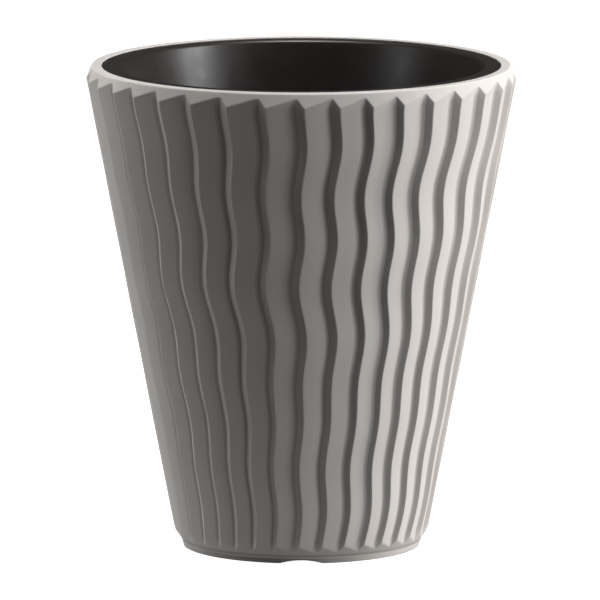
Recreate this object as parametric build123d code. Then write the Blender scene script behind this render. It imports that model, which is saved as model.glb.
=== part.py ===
from build123d import *
import math
import os

os.makedirs("parts", exist_ok=True)

# A round self-watering planter: a conical outer pot with wavy ridges whose lower part is the
# water reservoir, and a liner for the soil that hangs from its rim. Three wick baskets, a
# filling tube with a lid and a float gauge go through the liner's loose floor.
#
# Millimetres. The origin is the middle of the footprint, +Z is up and the front faces -Y.

# ---- outer pot -------------------------------------------------------------------------
HEIGHT = 440.0
FOOT_HEIGHT = 7.0
FOOT_RADIUS = 108.0
FOOT_TOP_RADIUS = 109.5
FOOT_INNER_RADIUS = 104.5
CONE_LOW = (115.6, 14.0)
CONE_HIGH = (195.0, 427.0)
RIM_CORNER_RADIUS = 190.5
FOOT_CHAMFER_SLOPE = 1.4
SHOULDER_SLOPE = 2.6

RIDGES = 36
PITCH = 360.0 / RIDGES
BROAD_FACE_SHARE = 0.776
RIDGE_DEPTH_SHARE = 0.026
SWAY_LEVELS = 30
SWAY_MARGIN = 12.0

# Each ripple of the ridges: amplitude in degrees, waves over the height, whole waves round
# the pot, and phase in degrees.
RIPPLES = (
    (1.20, 0.00, 2, 80),
    (0.75, 0.30, 5, 242),
    (0.50, 0.55, 3, 174),
    (0.70, 1.03, 0, 247),
    (0.42, 2.27, -2, 10),
    (0.33, 3.60, 1, 157),
    (0.70, 5.16, 0, 173),
)

POT_WALL = 3.0
PLATE_LOW = 9.0
PLATE_TOP = 12.0
REBATE_RADIUS = 181.2
LEDGE_TOP = 436.5
LEDGE_THICKNESS = 3.0
LEDGE_RADIUS = 176.5
LEDGE_BRACE_LOW = 424.0

FOOT_NOTCHES = 4
NOTCH_WIDTH = 39.0
NOTCH_HEIGHT = 3.0
BASE_RIBS = 8
BASE_RIB_THICKNESS = 2.5
BASE_RIB_LOW = 4.0
BASE_RIB_START = 22.0

# ---- drain plug, screwed in from below ---------------------------------------------------
DRAIN_HOLE_RADIUS = 9.5
DRAIN_BOSS_RADIUS = 15.0
DRAIN_BOSS_TOP = 16.0
PLUG_SHANK_RADIUS = 9.2
PLUG_SHANK_TOP = 15.5
PLUG_HEAD_RADIUS = 16.0
PLUG_HEAD_LOW = 1.5
PLUG_HEAD_TOP = 6.0
PLUG_RECESS_RADIUS = 13.0
PLUG_RECESS_DEPTH = 3.0
PLUG_BAR_WIDTH = 5.0
O_RING_RADIUS = 12.4
O_RING_THICKNESS = 2.9

# ---- liner -----------------------------------------------------------------------------
FLANGE_LOW = 436.6
FLANGE_TOP = 439.4
FLANGE_OUTER_RADIUS = 180.7
FLANGE_INNER_RADIUS = 165.4
FLANGE_ROUNDING = 2.0
LINER_TAPER = 0.19
LINER_WALL = 2.5
LINER_FLOOR_LOW = 88.0
LINER_FLOOR_TOP = 91.0
LINER_SHELF_LOW = 85.0
LINER_SHELF_RADIUS = 95.5
LINER_FLOOR_GAP = 0.3
AIR_HOLES = 13
AIR_HOLE_RADIUS = 3.0
AIR_HOLE_CIRCLE = 87.0
AIR_HOLE_START = -30.0
AIR_HOLE_STEP = 20.0

# ---- wick baskets ------------------------------------------------------------------------
BASKET_PLACES = {"back": (0.0, 56.0), "left": (-46.0, -20.0), "right": (46.0, -20.0)}
BASKET_HOLE_RADIUS = 24.2
BASKET_FLANGE_RADIUS = 28.0
BASKET_FLANGE_THICKNESS = 2.0
BASKET_TOP_RADIUS = 23.5
BASKET_LOW_RADIUS = 17.0
BASKET_LOW = 17.0
BASKET_WALL = 2.0
BASKET_SLOTS = 8
BASKET_SLOT_WIDTH = 4.0
BASKET_SLOT_LOW = 28.0
BASKET_SLOT_TOP = 72.0

# ---- filling tube ------------------------------------------------------------------------
FILL_PLACE = (-27.0, -70.0)
FILL_OUTER_RADIUS = 15.0
FILL_INNER_RADIUS = 13.0
FILL_LOW = 32.0
FILL_JOINT = 218.0
FILL_TOP = 404.0
FILL_SOCKET_RADIUS = 17.0
FILL_SOCKET_LOW = 204.0
FILL_SOCKET_TOP = 222.0
FILL_STOP_RADIUS = 18.0
FILL_STOP_LOW = 92.5
FILL_STOP_TOP = 94.5
FIT_GAP = 0.1

STRAINER_LOW = 14.0
STRAINER_SOCKET_TOP = 44.0
STRAINER_SOCKET_RADIUS = 17.0
STRAINER_SLOTS = 6
STRAINER_SLOT_WIDTH = 4.0

GROMMET_HOLE_RADIUS = 17.5
GROMMET_LIP_RADIUS = 19.5
GROMMET_LIP = 1.5

COLLAR_RADIUS = 19.0
COLLAR_LOW = 394.0
COLLAR_TOP = 408.0

# ---- lid of the filling tube -------------------------------------------------------------
LID_RADIUS = 18.5
LID_LOW = 408.4
LID_TOP = 411.0
LID_PLUG_RADIUS = 12.4
LID_PLUG_WALL = 1.4
LID_PLUG_LOW = 405.0
LID_TAB_WIDTH = 12.0
LID_TAB_REACH = 23.5
HINGE_OFFSET = 23.0
HINGE_HEIGHT = 409.5
KNUCKLE_RADIUS = 3.0
KNUCKLE_HALF_WIDTH = 4.7
LUG_INNER = 5.0
LUG_OUTER = 8.0
PIN_RADIUS = 1.5
PIN_FIT_GAP = 0.08

# ---- float gauge -------------------------------------------------------------------------
GAUGE_PLACE = (27.0, -70.0)
CAGE_LOW = 16.0
CAGE_RADIUS = 17.0
CAGE_WALL = 1.6
CAGE_FLOOR = 2.0
CAGE_HOLE_RADIUS = 17.5
CAGE_FLANGE_RADIUS = 22.0
CAGE_FLANGE_TOP = 93.5
CAGE_SLOTS = 6
CAGE_SLOT_WIDTH = 5.0
CAGE_SLOT_LOW = 24.0
CAGE_SLOT_TOP = 80.0
CAGE_DRAIN_RADIUS = 5.0

CAP_RADIUS = 20.0
CAP_TOP = 96.0
CAP_SPIGOT_LOW = 90.5
CAP_SPIGOT_RADIUS = 15.2
CAP_BORE_RADIUS = 7.5
CAP_SOCKET_TOP = 108.0
CAP_SOCKET_RADIUS = 13.5

FLOAT_RADIUS = 13.5
FLOAT_LOW = 19.0
FLOAT_TOP = 43.0
STEM_RADIUS = 2.0
STEM_LOW = 30.0
STEM_TOP = 360.0
STEM_FIT_GAP = 0.05
MARKER_RADIUS = 6.2
MARKER_LOW = 349.0
MARKER_TOP = 369.0

GAUGE_TUBE_RADIUS = 11.0
GAUGE_TUBE_BORE = 7.0
GAUGE_TUBE_TOP = 356.0
SPIGOT_RADIUS = 8.8
SPIGOT_TOP = 366.0
WINDOW_RADIUS = 11.0
WINDOW_BORE = 9.0
WINDOW_ROOF_LOW = 416.0
WINDOW_TOP = 418.0
SMALL_CHAMFER = 1.0


# ---- building helpers ----------------------------------------------------------------------
def turned(outline):
    """A solid turned round the Z axis from a closed outline of (radius, height) points."""
    points = [Vector(radius, 0, height) for radius, height in outline]
    return revolve(Face(Wire.make_polygon(points, close=True)), axis=Axis.Z)


def disc(radius, low, high, place=(0.0, 0.0)):
    """An upright cylinder between two heights."""
    centre = Pos(place[0], place[1], (low + high) / 2)
    return centre * Cylinder(radius, high - low)


def tube(outer, inner, low, high, place=(0.0, 0.0)):
    """An upright tube between two heights."""
    return disc(outer, low, high, place) - disc(inner, low, high, place)


def block(x_range, y_range, z_range):
    """A box between two corners."""
    sizes = [high - low for low, high in (x_range, y_range, z_range)]
    middle = [(low + high) / 2 for low, high in (x_range, y_range, z_range)]
    return Pos(*middle) * Box(*sizes)


def radial_slots(count, width, reach, low, high):
    """Upright blades from the axis outwards, used to cut slots in a round wall."""
    blade = block((0, reach), (-width / 2, width / 2), (low, high))
    return [Rot(0, 0, 360.0 * i / count) * blade for i in range(count)]


def crossbar(radius, half_width, y, z):
    """A cylinder along X, centred on x = 0."""
    return Pos(0, y, z) * Rot(0, 90, 0) * Cylinder(radius, 2 * half_width)


# ---- outer pot -----------------------------------------------------------------------------
def crest_radius(height):
    """Radius of the ridge crests: a straight cone."""
    (low_radius, low), (high_radius, high) = CONE_LOW, CONE_HIGH
    return low_radius + (height - low) * (high_radius - low_radius) / (high - low)


def wall_radius(height):
    """Inner radius of the pot's wall, a wall thickness inside the ridge valleys."""
    return crest_radius(height) * (1 - RIDGE_DEPTH_SHARE) - POT_WALL


def sway(angle, height):
    """Degrees by which a ridge leans from its straight place at a height."""
    total = 0.0
    for amplitude, waves, turns, phase in RIPPLES:
        total += amplitude * math.cos(math.radians(360 * waves * height / HEIGHT + turns * angle + phase))
    return total


def ridge_line(angle, depth_share):
    """A crest or valley line; its angle is counted from the front towards +X."""
    low = -SWAY_MARGIN
    span = HEIGHT + 2 * SWAY_MARGIN
    shares = [i / (SWAY_LEVELS - 1) for i in range(SWAY_LEVELS)]
    points = []
    for share in shares:
        height = low + span * share
        turn = math.radians(angle + sway(angle, height))
        radius = crest_radius(height) * (1 - depth_share)
        points.append((radius * math.sin(turn), -radius * math.cos(turn), height))
    return Edge.make_spline(points, parameters=shares)


def ridged_body():
    """The solid inside the ridges: sawtooth pleats between shared wavy lines."""
    lines = []
    for i in range(RIDGES):
        lines.append(ridge_line(i * PITCH, 0.0))
        lines.append(ridge_line((i + BROAD_FACE_SHARE) * PITCH, RIDGE_DEPTH_SHARE))
    faces = []
    for i, line in enumerate(lines):
        faces.append(Face.make_surface_from_curves(line, lines[(i + 1) % len(lines)]))
    for end in (0, 1):
        faces.append(Face(Wire.make_polygon([line @ end for line in lines], close=True)))
    return Solid(Shell(faces))


def pot_envelope():
    """Turned shape that gives the ridged body its foot, lower chamfer and rim."""
    far = CONE_HIGH[0] + 10
    rim_drop = HEIGHT - CONE_HIGH[1]
    return turned([
        (0, 0),
        (FOOT_RADIUS, 0),
        (FOOT_TOP_RADIUS, FOOT_HEIGHT),
        (far, FOOT_HEIGHT + (far - FOOT_TOP_RADIUS) * FOOT_CHAMFER_SLOPE),
        (far, CONE_HIGH[1] - (far - CONE_HIGH[0]) * SHOULDER_SLOPE),
        CONE_HIGH,
        (RIM_CORNER_RADIUS, CONE_HIGH[1] + rim_drop - SMALL_CHAMFER),
        (RIM_CORNER_RADIUS - SMALL_CHAMFER, HEIGHT),
        (0, HEIGHT),
    ])


def pot_cavity():
    """The space inside the pot, with the ledge and rebate that carry the liner."""
    return turned([
        (0, PLATE_TOP),
        (wall_radius(PLATE_TOP), PLATE_TOP),
        (wall_radius(LEDGE_BRACE_LOW), LEDGE_BRACE_LOW),
        (LEDGE_RADIUS, LEDGE_TOP - LEDGE_THICKNESS),
        (LEDGE_RADIUS, LEDGE_TOP),
        (REBATE_RADIUS, LEDGE_TOP),
        (REBATE_RADIUS, HEIGHT + 1),
        (0, HEIGHT + 1),
    ])


def foot_notches():
    """Shallow arches under the foot ring that let air and water pass."""
    arch_radius = ((NOTCH_WIDTH / 2) ** 2 + NOTCH_HEIGHT ** 2) / (2 * NOTCH_HEIGHT)
    middle = (FOOT_INNER_RADIUS + FOOT_TOP_RADIUS) / 2
    lying = Rot(90, 0, 0) * Cylinder(arch_radius, 12)
    notch = Pos(0, -middle, NOTCH_HEIGHT - arch_radius) * lying
    return [Rot(0, 0, 360.0 * i / FOOT_NOTCHES) * notch for i in range(FOOT_NOTCHES)]


def base_ribs():
    """Ribs that stiffen the base plate from below."""
    half = BASE_RIB_THICKNESS / 2
    rib = block((BASE_RIB_START, FOOT_INNER_RADIUS + 1), (-half, half), (BASE_RIB_LOW, PLATE_LOW))
    return [Rot(0, 0, 360.0 * (i + 0.5) / BASE_RIBS) * rib for i in range(BASE_RIBS)]


def outer_pot():
    pot = ridged_body() & pot_envelope()
    pot -= pot_cavity()
    pot -= disc(FOOT_INNER_RADIUS, -1, PLATE_LOW)
    pot -= foot_notches()
    pot += base_ribs()
    pot += disc(DRAIN_BOSS_RADIUS, PLATE_TOP, DRAIN_BOSS_TOP)
    pot -= disc(DRAIN_HOLE_RADIUS, 0, DRAIN_BOSS_TOP + 1)
    return pot


# ---- drain plug ------------------------------------------------------------------------------
def drain_plug():
    """Screw plug with a finger recess and a grip bar across it; the thread is left plain."""
    recess_top = PLUG_HEAD_LOW + PLUG_RECESS_DEPTH
    half_bar = PLUG_BAR_WIDTH / 2
    plug = turned([
        (0, PLUG_HEAD_LOW),
        (PLUG_HEAD_RADIUS - SMALL_CHAMFER, PLUG_HEAD_LOW),
        (PLUG_HEAD_RADIUS, PLUG_HEAD_LOW + SMALL_CHAMFER),
        (PLUG_HEAD_RADIUS, PLUG_HEAD_TOP),
        (PLUG_SHANK_RADIUS, PLUG_HEAD_TOP),
        (PLUG_SHANK_RADIUS, PLUG_SHANK_TOP - SMALL_CHAMFER),
        (PLUG_SHANK_RADIUS - SMALL_CHAMFER, PLUG_SHANK_TOP),
        (0, PLUG_SHANK_TOP),
    ])
    recess = disc(PLUG_RECESS_RADIUS, PLUG_HEAD_LOW - 1, recess_top)
    bar_room = (-PLUG_RECESS_RADIUS, PLUG_RECESS_RADIUS)
    recess -= block(bar_room, (-half_bar, half_bar), (PLUG_HEAD_LOW, recess_top))
    return plug - recess


def drain_o_ring():
    height = (PLUG_HEAD_TOP + PLATE_LOW) / 2
    return Pos(0, 0, height) * Torus(O_RING_RADIUS, O_RING_THICKNESS / 2)


# ---- liner -------------------------------------------------------------------------------------
def liner_radius(height):
    """Inner radius of the liner's wall."""
    return FLANGE_INNER_RADIUS - LINER_TAPER * (FLANGE_TOP - height)


def liner_floor_holes():
    """Holes for the baskets, the filling tube, the float cage and air."""
    low, high = LINER_FLOOR_LOW - 1, LINER_FLOOR_TOP + 1
    holes = [disc(BASKET_HOLE_RADIUS, low, high, place) for place in BASKET_PLACES.values()]
    holes.append(disc(GROMMET_HOLE_RADIUS, low, high, FILL_PLACE))
    holes.append(disc(CAGE_HOLE_RADIUS, low, high, GAUGE_PLACE))
    for i in range(AIR_HOLES):
        turn = math.radians(AIR_HOLE_START + AIR_HOLE_STEP * i)
        place = (AIR_HOLE_CIRCLE * math.cos(turn), AIR_HOLE_CIRCLE * math.sin(turn))
        holes.append(disc(AIR_HOLE_RADIUS, low, high, place))
    return holes


def liner():
    """Conical wall with a flat flange at the top and a narrow shelf for the floor at the bottom."""
    rounding = FLANGE_ROUNDING
    return turned([
        (LINER_SHELF_RADIUS, LINER_SHELF_LOW),
        (liner_radius(LINER_SHELF_LOW) + LINER_WALL, LINER_SHELF_LOW),
        (liner_radius(FLANGE_LOW) + LINER_WALL, FLANGE_LOW),
        (FLANGE_OUTER_RADIUS, FLANGE_LOW),
        (FLANGE_OUTER_RADIUS, FLANGE_TOP),
        (FLANGE_INNER_RADIUS + rounding, FLANGE_TOP),
        (FLANGE_INNER_RADIUS + 0.3 * rounding, FLANGE_TOP - 0.3 * rounding),
        (liner_radius(FLANGE_TOP - rounding), FLANGE_TOP - rounding),
        (liner_radius(LINER_FLOOR_LOW), LINER_FLOOR_LOW),
        (LINER_SHELF_RADIUS, LINER_FLOOR_LOW),
    ])


def liner_floor():
    """Loose perforated floor that lies on the liner's shelf, over the water."""
    plate = disc(liner_radius(LINER_FLOOR_LOW) - LINER_FLOOR_GAP, LINER_FLOOR_LOW, LINER_FLOOR_TOP)
    return plate - liner_floor_holes()


# ---- wick baskets --------------------------------------------------------------------------------
def wick_basket(place):
    """A slotted cup that holds soil down in the water."""
    flange_top = LINER_FLOOR_TOP + BASKET_FLANGE_THICKNESS
    cup = turned([
        (0, BASKET_LOW),
        (BASKET_LOW_RADIUS, BASKET_LOW),
        (BASKET_TOP_RADIUS, LINER_FLOOR_TOP),
        (BASKET_FLANGE_RADIUS, LINER_FLOOR_TOP),
        (BASKET_FLANGE_RADIUS, flange_top),
        (BASKET_TOP_RADIUS - BASKET_WALL, flange_top),
        (BASKET_LOW_RADIUS - BASKET_WALL, BASKET_LOW + BASKET_WALL),
        (0, BASKET_LOW + BASKET_WALL),
    ])
    reach = BASKET_FLANGE_RADIUS
    cup -= radial_slots(BASKET_SLOTS, BASKET_SLOT_WIDTH, reach, BASKET_SLOT_LOW, BASKET_SLOT_TOP)
    seep_hole = disc(AIR_HOLE_RADIUS, BASKET_LOW - 1, BASKET_LOW + BASKET_WALL + 1, (9.0, 0.0))
    cup -= [Rot(0, 0, 90 * i) * seep_hole for i in range(4)]
    return Pos(place[0], place[1], 0) * cup


# ---- filling tube ------------------------------------------------------------------------------------
def at_fill(shape):
    return Pos(FILL_PLACE[0], FILL_PLACE[1], 0) * shape


def fill_tube():
    """Lower half of the filling tube, with a stop ring that rests on the grommet."""
    pipe = disc(FILL_OUTER_RADIUS, FILL_LOW, FILL_JOINT)
    pipe += disc(FILL_STOP_RADIUS, FILL_STOP_LOW, FILL_STOP_TOP)
    return at_fill(pipe - disc(FILL_INNER_RADIUS, FILL_LOW, FILL_JOINT))


def fill_tube_extension():
    """Upper half, whose socket slips over the lower one."""
    socket_bore = FILL_OUTER_RADIUS + FIT_GAP
    shoulder = FILL_SOCKET_RADIUS - FILL_OUTER_RADIUS
    pipe = turned([
        (FILL_INNER_RADIUS, FILL_JOINT),
        (socket_bore, FILL_JOINT),
        (socket_bore, FILL_SOCKET_LOW),
        (FILL_SOCKET_RADIUS, FILL_SOCKET_LOW),
        (FILL_SOCKET_RADIUS, FILL_SOCKET_TOP),
        (FILL_OUTER_RADIUS, FILL_SOCKET_TOP + shoulder),
        (FILL_OUTER_RADIUS, FILL_TOP),
        (FILL_INNER_RADIUS, FILL_TOP),
    ])
    return at_fill(pipe)


def fill_tube_foot():
    """Slotted strainer cup pushed over the lower end of the tube."""
    socket_bore = FILL_OUTER_RADIUS + FIT_GAP
    cup = disc(STRAINER_SOCKET_RADIUS, STRAINER_LOW, STRAINER_SOCKET_TOP)
    cup -= disc(FILL_INNER_RADIUS, STRAINER_LOW + 2, STRAINER_SOCKET_TOP)
    cup -= disc(socket_bore, FILL_LOW, STRAINER_SOCKET_TOP)
    slot_top = FILL_LOW - 2
    cup -= radial_slots(STRAINER_SLOTS, STRAINER_SLOT_WIDTH, COLLAR_RADIUS, STRAINER_LOW + 3, slot_top)
    return at_fill(cup)


def fill_grommet():
    """Rubber ring that grips the tube in the liner's floor."""
    bore = FILL_OUTER_RADIUS + FIT_GAP
    groove = GROMMET_HOLE_RADIUS - FIT_GAP
    ring = turned([
        (bore, LINER_FLOOR_LOW - GROMMET_LIP),
        (GROMMET_LIP_RADIUS, LINER_FLOOR_LOW - GROMMET_LIP),
        (GROMMET_LIP_RADIUS, LINER_FLOOR_LOW),
        (groove, LINER_FLOOR_LOW),
        (groove, LINER_FLOOR_TOP),
        (GROMMET_LIP_RADIUS, LINER_FLOOR_TOP),
        (GROMMET_LIP_RADIUS, LINER_FLOOR_TOP + GROMMET_LIP),
        (bore, LINER_FLOOR_TOP + GROMMET_LIP),
    ])
    return at_fill(ring)


def hinge_lug(side):
    """One of the two ears of the collar that hold the hinge pin; side is -1 or 1."""
    x_range = sorted((side * LUG_INNER, side * LUG_OUTER))
    width = LUG_OUTER - LUG_INNER
    ear_radius = KNUCKLE_RADIUS + 0.2
    ear_back = HINGE_OFFSET + ear_radius
    ear_front = HINGE_OFFSET - ear_radius
    middle = side * (LUG_INNER + LUG_OUTER) / 2
    ear = Pos(middle, 0, 0) * crossbar(ear_radius, width / 2, HINGE_OFFSET, HINGE_HEIGHT)
    ear += block(x_range, (ear_front, ear_back), (COLLAR_LOW + 6, HINGE_HEIGHT))
    return ear + block(x_range, (COLLAR_RADIUS - 3, HINGE_OFFSET), (COLLAR_LOW + 6, COLLAR_TOP))


def fill_collar():
    """Cap ring glued on the top of the tube, with ears for the lid's hinge."""
    collar = turned([
        (FILL_OUTER_RADIUS + FIT_GAP, COLLAR_LOW),
        (COLLAR_RADIUS, COLLAR_LOW),
        (COLLAR_RADIUS, COLLAR_TOP - SMALL_CHAMFER),
        (COLLAR_RADIUS - SMALL_CHAMFER, COLLAR_TOP),
        (FILL_INNER_RADIUS, COLLAR_TOP),
        (FILL_INNER_RADIUS, FILL_TOP),
        (FILL_OUTER_RADIUS + FIT_GAP, FILL_TOP),
    ])
    collar += [hinge_lug(-1), hinge_lug(1)]
    collar -= crossbar(PIN_RADIUS + PIN_FIT_GAP, LUG_OUTER + 1, HINGE_OFFSET, HINGE_HEIGHT)
    return at_fill(collar)


def fill_lid():
    """Round flap with a thumb tab, a plug ring that drops into the collar and a knuckle."""
    half_tab = LID_TAB_WIDTH / 2
    flap = disc(LID_RADIUS, LID_LOW, LID_TOP)
    flap += block((-half_tab, half_tab), (-LID_TAB_REACH, 0), (LID_LOW + 0.4, LID_TOP))
    flap += tube(LID_PLUG_RADIUS, LID_PLUG_RADIUS - LID_PLUG_WALL, LID_PLUG_LOW, LID_LOW)
    knuckle_range = (-KNUCKLE_HALF_WIDTH, KNUCKLE_HALF_WIDTH)
    flap += block(knuckle_range, (LID_RADIUS - 4, HINGE_OFFSET), (LID_LOW, LID_TOP))
    flap += crossbar(KNUCKLE_RADIUS, KNUCKLE_HALF_WIDTH, HINGE_OFFSET, HINGE_HEIGHT)
    flap -= crossbar(PIN_RADIUS + PIN_FIT_GAP, KNUCKLE_HALF_WIDTH + 1, HINGE_OFFSET, HINGE_HEIGHT)
    return at_fill(flap)


def fill_lid_pin():
    return at_fill(crossbar(PIN_RADIUS, LUG_OUTER, HINGE_OFFSET, HINGE_HEIGHT))


# ---- float gauge ---------------------------------------------------------------------------------------
def at_gauge(shape):
    return Pos(GAUGE_PLACE[0], GAUGE_PLACE[1], 0) * shape


def float_cage():
    """Slotted cage that guides the float and hangs in the liner's floor."""
    cage = disc(CAGE_RADIUS, CAGE_LOW, CAGE_FLANGE_TOP)
    cage += disc(CAGE_FLANGE_RADIUS, LINER_FLOOR_TOP, CAGE_FLANGE_TOP)
    cage -= disc(CAGE_RADIUS - CAGE_WALL, CAGE_LOW + CAGE_FLOOR, CAGE_FLANGE_TOP)
    cage -= radial_slots(CAGE_SLOTS, CAGE_SLOT_WIDTH, CAGE_FLANGE_RADIUS, CAGE_SLOT_LOW, CAGE_SLOT_TOP)
    cage -= disc(CAGE_DRAIN_RADIUS, CAGE_LOW, CAGE_LOW + CAGE_FLOOR)
    return at_gauge(cage)


def float_cage_cap():
    """Cap on the cage that keeps soil out and holds the gauge's tube upright."""
    cap = disc(CAP_RADIUS, CAGE_FLANGE_TOP, CAP_TOP)
    cap += disc(CAP_SPIGOT_RADIUS, CAP_SPIGOT_LOW, CAGE_FLANGE_TOP)
    cap += disc(CAP_SOCKET_RADIUS, CAP_TOP, CAP_SOCKET_TOP)
    cap -= disc(CAP_BORE_RADIUS, CAP_SPIGOT_LOW, CAP_TOP)
    cap -= disc(GAUGE_TUBE_RADIUS + FIT_GAP, CAP_TOP, CAP_SOCKET_TOP)
    return at_gauge(cap)


def level_float():
    body = turned([
        (0, FLOAT_LOW),
        (FLOAT_RADIUS - SMALL_CHAMFER, FLOAT_LOW),
        (FLOAT_RADIUS, FLOAT_LOW + SMALL_CHAMFER),
        (FLOAT_RADIUS, FLOAT_TOP - SMALL_CHAMFER),
        (FLOAT_RADIUS - SMALL_CHAMFER, FLOAT_TOP),
        (0, FLOAT_TOP),
    ])
    return at_gauge(body - disc(STEM_RADIUS + STEM_FIT_GAP, STEM_LOW, FLOAT_TOP))


def level_stem():
    return at_gauge(disc(STEM_RADIUS, STEM_LOW, STEM_TOP))


def level_marker():
    """The coloured bobbin on the stem that shows in the window."""
    body = turned([
        (0, MARKER_LOW),
        (MARKER_RADIUS - SMALL_CHAMFER, MARKER_LOW),
        (MARKER_RADIUS, MARKER_LOW + SMALL_CHAMFER),
        (MARKER_RADIUS, MARKER_TOP - SMALL_CHAMFER),
        (MARKER_RADIUS - SMALL_CHAMFER, MARKER_TOP),
        (0, MARKER_TOP),
    ])
    return at_gauge(body - disc(STEM_RADIUS + STEM_FIT_GAP, MARKER_LOW, STEM_TOP))


def indicator_tube():
    pipe = disc(GAUGE_TUBE_RADIUS, CAP_TOP, GAUGE_TUBE_TOP)
    pipe += disc(SPIGOT_RADIUS, GAUGE_TUBE_TOP, SPIGOT_TOP)
    return at_gauge(pipe - disc(GAUGE_TUBE_BORE, CAP_TOP, SPIGOT_TOP))


def indicator_window():
    """Clear cap over the top of the gauge's tube."""
    dome = turned([
        (WINDOW_BORE, GAUGE_TUBE_TOP),
        (WINDOW_RADIUS, GAUGE_TUBE_TOP),
        (WINDOW_RADIUS, WINDOW_ROOF_LOW),
        (WINDOW_RADIUS - 2 * SMALL_CHAMFER, WINDOW_TOP),
        (0, WINDOW_TOP),
        (0, WINDOW_ROOF_LOW),
        (WINDOW_BORE, WINDOW_ROOF_LOW),
    ])
    return at_gauge(dome)


# ---- one STEP file for each piece ------------------------------------------------------------------------
pieces = {
    "outer_pot": outer_pot(),
    "drain_plug": drain_plug(),
    "drain_o_ring": drain_o_ring(),
    "liner": liner(),
    "liner_floor": liner_floor(),
    "fill_tube": fill_tube(),
    "fill_tube_extension": fill_tube_extension(),
    "fill_tube_foot": fill_tube_foot(),
    "fill_grommet": fill_grommet(),
    "fill_collar": fill_collar(),
    "fill_lid": fill_lid(),
    "fill_lid_pin": fill_lid_pin(),
    "float_cage": float_cage(),
    "float_cage_cap": float_cage_cap(),
    "level_float": level_float(),
    "level_stem": level_stem(),
    "level_marker": level_marker(),
    "indicator_tube": indicator_tube(),
    "indicator_window": indicator_window(),
}
for side, place in BASKET_PLACES.items():
    pieces["wick_basket_" + side] = wick_basket(place)

for name, piece in pieces.items():
    export_step(piece, "parts/" + name + ".step")
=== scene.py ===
import math

import bmesh
import bpy
from mathutils import Matrix, Vector


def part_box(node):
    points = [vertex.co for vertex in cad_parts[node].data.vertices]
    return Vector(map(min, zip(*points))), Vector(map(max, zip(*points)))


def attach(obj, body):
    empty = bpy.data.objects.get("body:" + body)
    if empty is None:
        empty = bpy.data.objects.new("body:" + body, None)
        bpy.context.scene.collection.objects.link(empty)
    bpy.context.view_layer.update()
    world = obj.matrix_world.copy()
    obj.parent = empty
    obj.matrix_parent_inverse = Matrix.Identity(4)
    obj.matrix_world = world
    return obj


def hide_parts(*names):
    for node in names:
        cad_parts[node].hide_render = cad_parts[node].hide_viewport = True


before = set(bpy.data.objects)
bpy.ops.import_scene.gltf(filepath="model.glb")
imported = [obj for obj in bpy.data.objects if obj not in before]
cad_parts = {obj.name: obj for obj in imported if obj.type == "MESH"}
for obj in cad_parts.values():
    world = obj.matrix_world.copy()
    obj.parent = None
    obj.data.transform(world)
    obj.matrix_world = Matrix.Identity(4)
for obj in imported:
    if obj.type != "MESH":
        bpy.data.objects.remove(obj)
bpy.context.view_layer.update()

MM = 0.001
TAU = 2 * math.pi
NODE_BOXES = {node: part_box(node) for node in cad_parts}


# ---- camera, floor and light -------------------------
CAMERA_DISTANCE = 11.2917
CAMERA_HEIGHT = 2.0093
CAMERA_PITCH = math.radians(8.9845)
CAMERA_LENS = 755.0
CAMERA_SHIFT = -0.0022
SENSOR_WIDTH = 36.0
CLIP_END = 200.0


def put(thing):
    bpy.context.scene.collection.objects.link(thing)


def add_camera():
    """A very long lens, a little above the rim, looking slightly down."""
    data = bpy.data.cameras.new("camera")
    data.lens = CAMERA_LENS
    data.sensor_width = SENSOR_WIDTH
    data.shift_x = CAMERA_SHIFT
    data.clip_end = CLIP_END
    camera = bpy.data.objects.new("camera", data)
    camera.location = (0.0, -CAMERA_DISTANCE, CAMERA_HEIGHT)
    camera.rotation_euler = (math.pi / 2 - CAMERA_PITCH, 0.0, 0.0)
    put(camera)
    bpy.context.scene.camera = camera


def add_softbox(name, direction, elevation, distance, size, power, aim_height):
    """A rectangular area light; direction is counted from the front towards +X."""
    data = bpy.data.lights.new(name, "AREA")
    data.shape = "RECTANGLE"
    data.size, data.size_y = size
    data.energy = power
    light = bpy.data.objects.new(name, data)
    turn, lift = math.radians(direction), math.radians(elevation)
    aim = Vector((0, 0, aim_height))
    away = Vector((math.sin(turn) * math.cos(lift), -math.cos(turn) * math.cos(lift), math.sin(lift)))
    light.location = aim + distance * away
    light.rotation_euler = away.to_track_quat("Z", "Y").to_euler()
    light.visible_camera = False
    put(light)
    return light


WHITE = (1.0, 1.0, 1.0, 1.0)
ROOM_COLOUR = (1.0, 0.98, 0.96, 1.0)
ROOM_STRENGTH = 0.01


def add_world():
    """White where the camera looks past the floor, and a dim grey room to the object."""
    world = bpy.data.worlds.new("studio")
    world.use_nodes = True
    nodes, links = world.node_tree.nodes, world.node_tree.links
    nodes.clear()
    seen = nodes.new("ShaderNodeBackground")
    set_inputs(seen, Color=WHITE)
    room = nodes.new("ShaderNodeBackground")
    set_inputs(room, Color=ROOM_COLOUR, Strength=ROOM_STRENGTH)
    rays = nodes.new("ShaderNodeLightPath")
    mix = nodes.new("ShaderNodeMixShader")
    output = nodes.new("ShaderNodeOutputWorld")
    links.new(rays.outputs["Is Camera Ray"], mix.inputs[0])
    links.new(room.outputs[0], mix.inputs[1])
    links.new(seen.outputs[0], mix.inputs[2])
    links.new(mix.outputs[0], output.inputs["Surface"])
    bpy.context.scene.world = world


FLOOR_RADIUS = 60.0
FLOOR_CORNERS = 96
FLOOR_COLOUR = (0.5, 0.5, 0.5, 1.0)
FLOOR_ROUGHNESS, FLOOR_SPECULAR = 0.9, 0.1
FLOOR_GLOW = 0.97


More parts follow.
